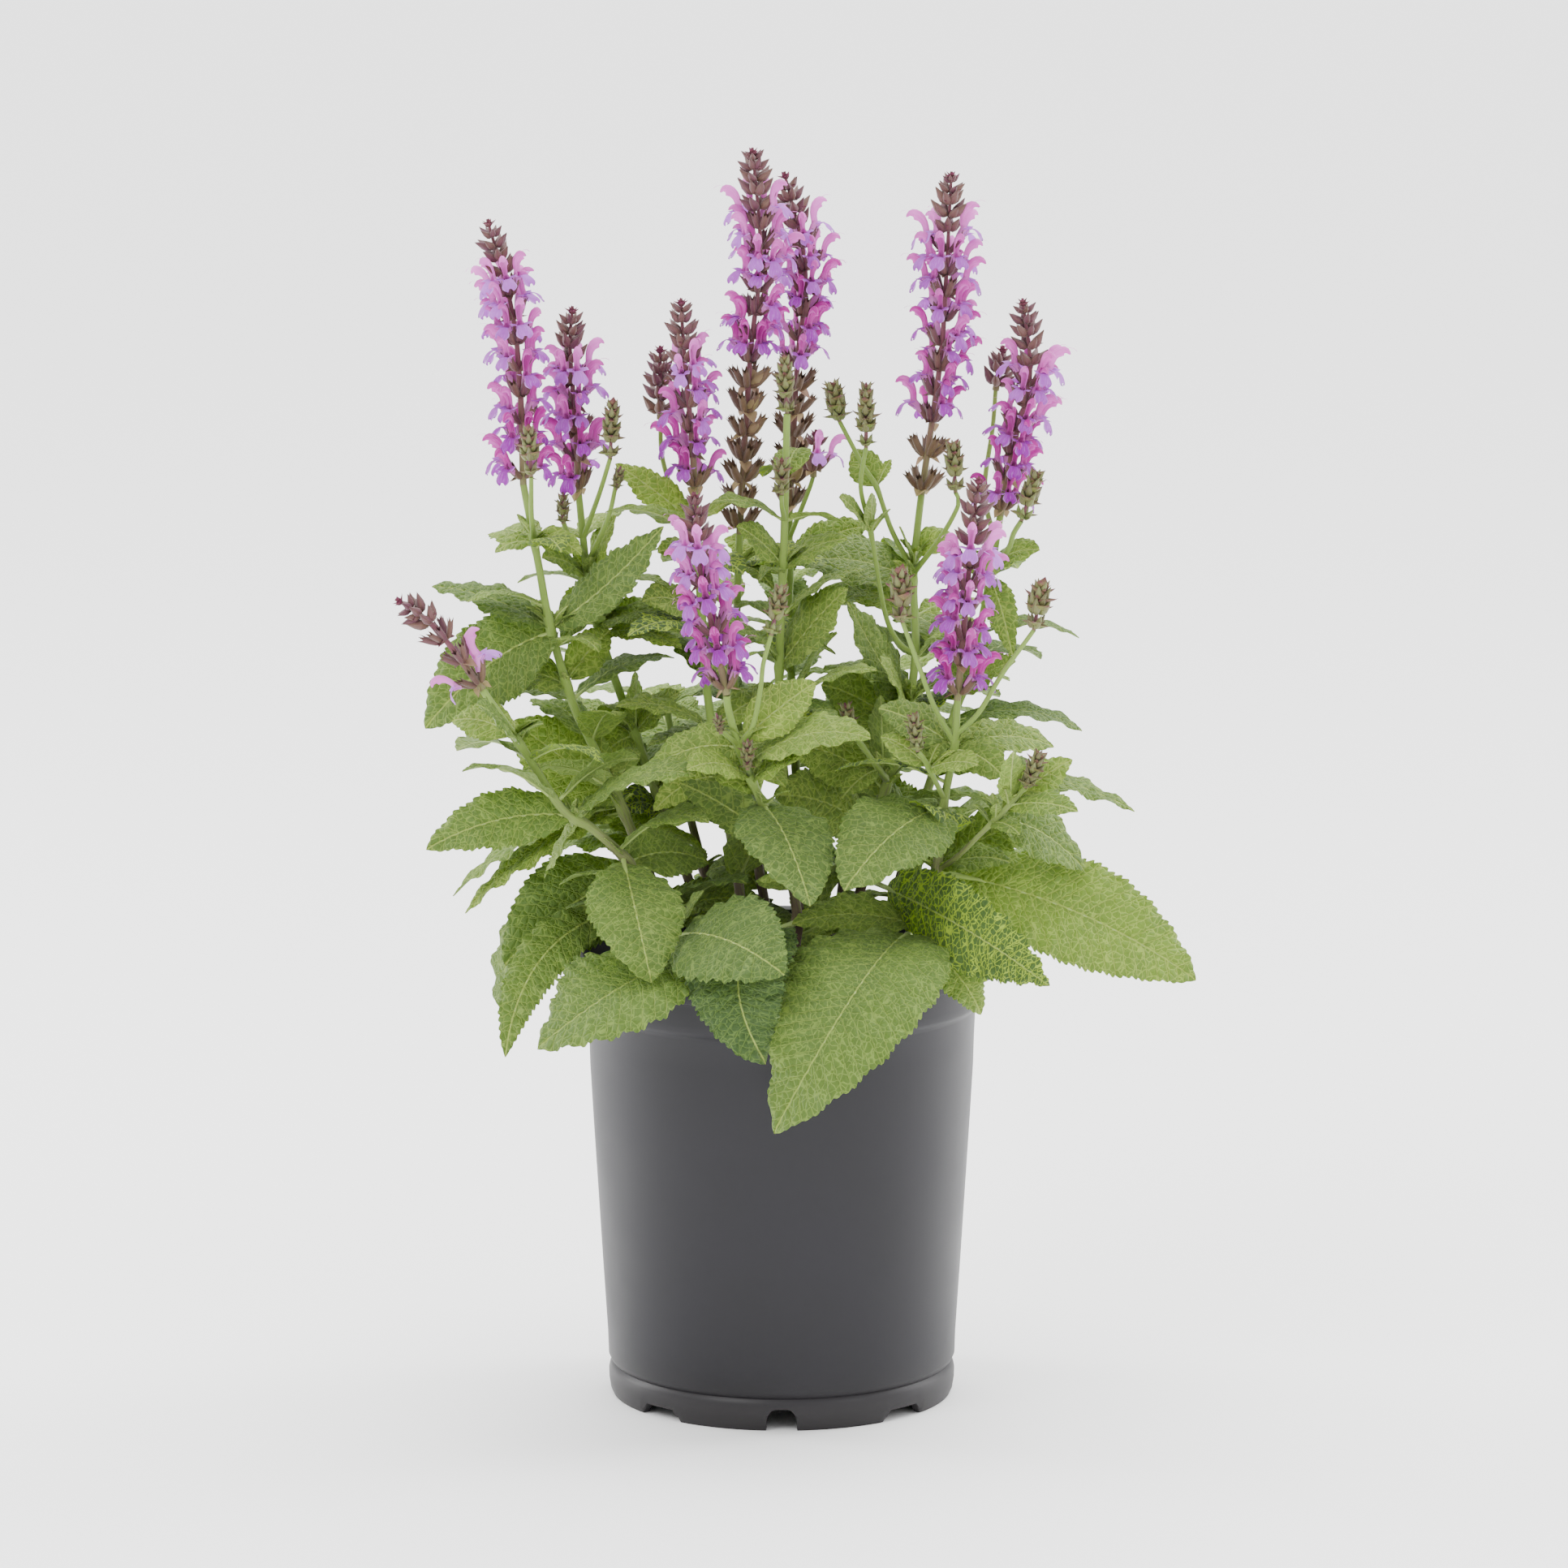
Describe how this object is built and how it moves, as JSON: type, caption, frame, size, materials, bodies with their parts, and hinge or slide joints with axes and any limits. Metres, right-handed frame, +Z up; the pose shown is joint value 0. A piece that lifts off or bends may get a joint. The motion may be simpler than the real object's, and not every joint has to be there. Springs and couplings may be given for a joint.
{
  "type": "potted perennial salvia",
  "caption": "Perennial salvia with serrated grey-green leaves and pink-violet flower spikes, growing in a round charcoal nursery pot.",
  "frame": {"origin": "on the ground, under the middle of the whole plant's box; the pot's axis is 5.5 mm to -X and 8.5 mm to -Y of it", "axes": "+Z up; the picture looks along +Y, slightly down, with +X to the right"},
  "size_m": [0.3022, 0.254, 0.479],
  "materials": {
    "nursery_pot": "satin",
    "potting_soil": "rough peat and bark",
    "sage_foliage": "wrinkled, finely hairy",
    "pink_bloom": "soft petals",
    "bud_scales": "soft, finely hairy"
  },
  "bodies": {
    "root": {"nursery_pot": "nursery_pot", "potting_soil": "potting_soil", "leafy_stem_a": "sage_foliage", "leafy_stem_b": "sage_foliage", "leafy_stem_c": "sage_foliage", "leafy_stem_d": "sage_foliage", "leafy_stem_e": "sage_foliage", "leafy_stem_f": "sage_foliage", "leafy_stem_g": "sage_foliage", "leafy_stem_h": "sage_foliage", "leafy_stem_i": "sage_foliage", "leafy_stem_j": "sage_foliage", "leafy_stem_k": "sage_foliage", "leafy_stem_l": "sage_foliage", "leafy_stem_m": "sage_foliage", "leafy_stem_n": "sage_foliage", "leafy_stem_o": "sage_foliage", "leafy_stem_p": "sage_foliage", "flower_spike_1": "pink_bloom", "flower_spike_2": "pink_bloom", "flower_spike_3": "pink_bloom", "flower_spike_4": "pink_bloom", "flower_spike_5": "pink_bloom", "flower_spike_6": "pink_bloom", "flower_spike_7": "pink_bloom", "flower_spike_8": "pink_bloom", "flower_spike_9": "pink_bloom", "flower_spike_10": "pink_bloom", "flower_spike_3_side": "pink_bloom", "flower_spike_5_side": "pink_bloom", "flower_spike_7_side": "pink_bloom", "bud_spike_1": "bud_scales", "bud_spike_2": "bud_scales", "bud_spike_3": "bud_scales", "bud_spike_4": "bud_scales", "bud_spike_5": "bud_scales", "bud_spike_6": "bud_scales", "bud_spike_7": "bud_scales", "bud_spike_8": "bud_scales", "bud_spike_9": "bud_scales", "bud_spike_10": "bud_scales", "bud_spike_11": "bud_scales", "bud_spike_12": "bud_scales", "bud_spike_13": "bud_scales", "bud_spike_14": "bud_scales"}
  },
  "joints": []
}
